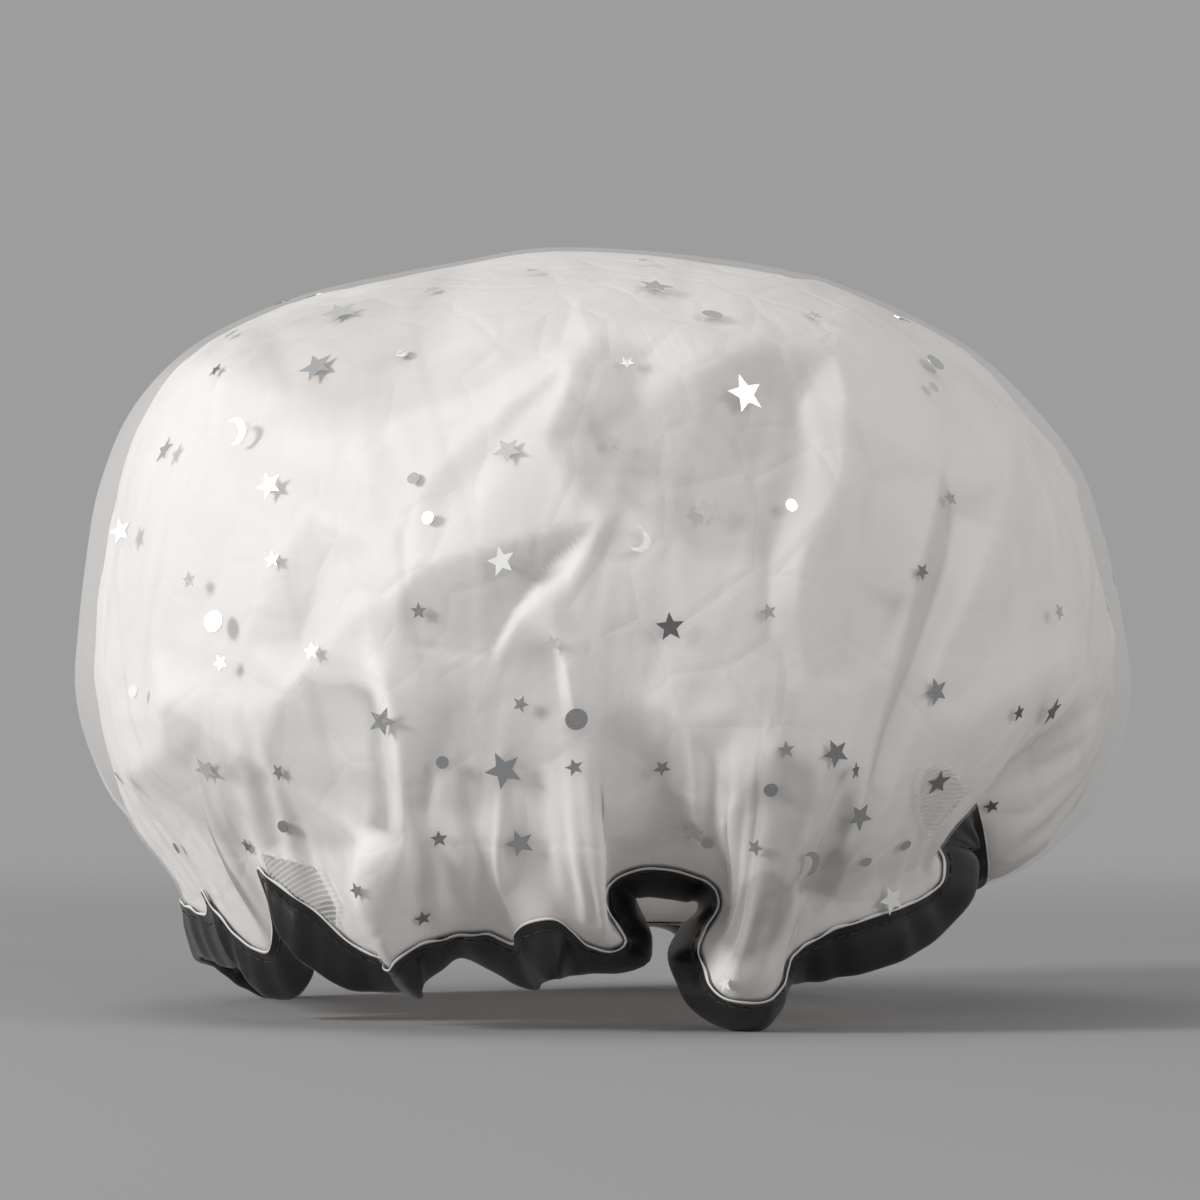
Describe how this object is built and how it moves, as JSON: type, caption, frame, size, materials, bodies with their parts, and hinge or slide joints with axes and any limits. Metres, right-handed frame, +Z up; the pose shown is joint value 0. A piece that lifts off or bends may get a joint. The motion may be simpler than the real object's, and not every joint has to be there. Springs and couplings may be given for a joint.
{
  "type": "shower cap",
  "caption": "Puffed bouffant shower cap: sheer net over frosted film, gathered into a satin tape with a hidden elastic, scattered foil stars.",
  "frame": {"origin": "on the ground, under the middle of the puffed cap's bounding box", "axes": "+X to the right in the front view, +Y from the front towards the back, +Z up through the crown"},
  "size_m": [0.2596, 0.2479, 0.1885],
  "materials": {
    "net": "sheer woven net, matte",
    "film": "frosted, translucent",
    "satin": "satin weave, soft sheen",
    "elastic": "matte",
    "thread": "matte twisted thread",
    "foil": "mirror-like silver foil"
  },
  "bodies": {
    "root": {"net_cover": "net", "film_liner": "film", "edge_tape": "satin", "rim_elastic": "elastic", "needle_thread": "thread", "bobbin_thread": "thread", "foil_star_big_01": "foil", "foil_star_big_02": "foil", "foil_star_big_03": "foil", "foil_star_big_04": "foil", "foil_star_big_05": "foil", "foil_star_big_06": "foil", "foil_star_big_07": "foil", "foil_star_mid_01": "foil", "foil_star_mid_02": "foil", "foil_star_mid_03": "foil", "foil_star_mid_04": "foil", "foil_star_mid_05": "foil", "foil_star_mid_06": "foil", "foil_star_mid_07": "foil", "foil_star_mid_08": "foil", "foil_star_mid_09": "foil", "foil_star_mid_10": "foil", "foil_star_mid_11": "foil", "foil_star_mid_12": "foil", "foil_star_mid_13": "foil", "foil_star_mid_14": "foil", "foil_star_mid_15": "foil", "foil_star_small_01": "foil", "foil_star_small_02": "foil", "foil_star_small_03": "foil", "foil_star_small_04": "foil", "foil_star_small_05": "foil", "foil_star_small_06": "foil", "foil_star_small_07": "foil", "foil_star_small_08": "foil", "foil_star_small_09": "foil", "foil_star_small_10": "foil", "foil_star_small_11": "foil", "foil_star_small_12": "foil", "foil_star_small_13": "foil", "foil_star_small_14": "foil", "foil_star_small_15": "foil", "foil_star_small_16": "foil", "foil_dot_big_01": "foil", "foil_dot_big_02": "foil", "foil_dot_big_03": "foil", "foil_dot_big_04": "foil", "foil_dot_small_01": "foil", "foil_dot_small_02": "foil", "foil_dot_small_03": "foil", "foil_dot_small_04": "foil", "foil_dot_small_05": "foil", "foil_moon_01": "foil", "foil_moon_02": "foil", "foil_moon_03": "foil"}
  },
  "joints": []
}
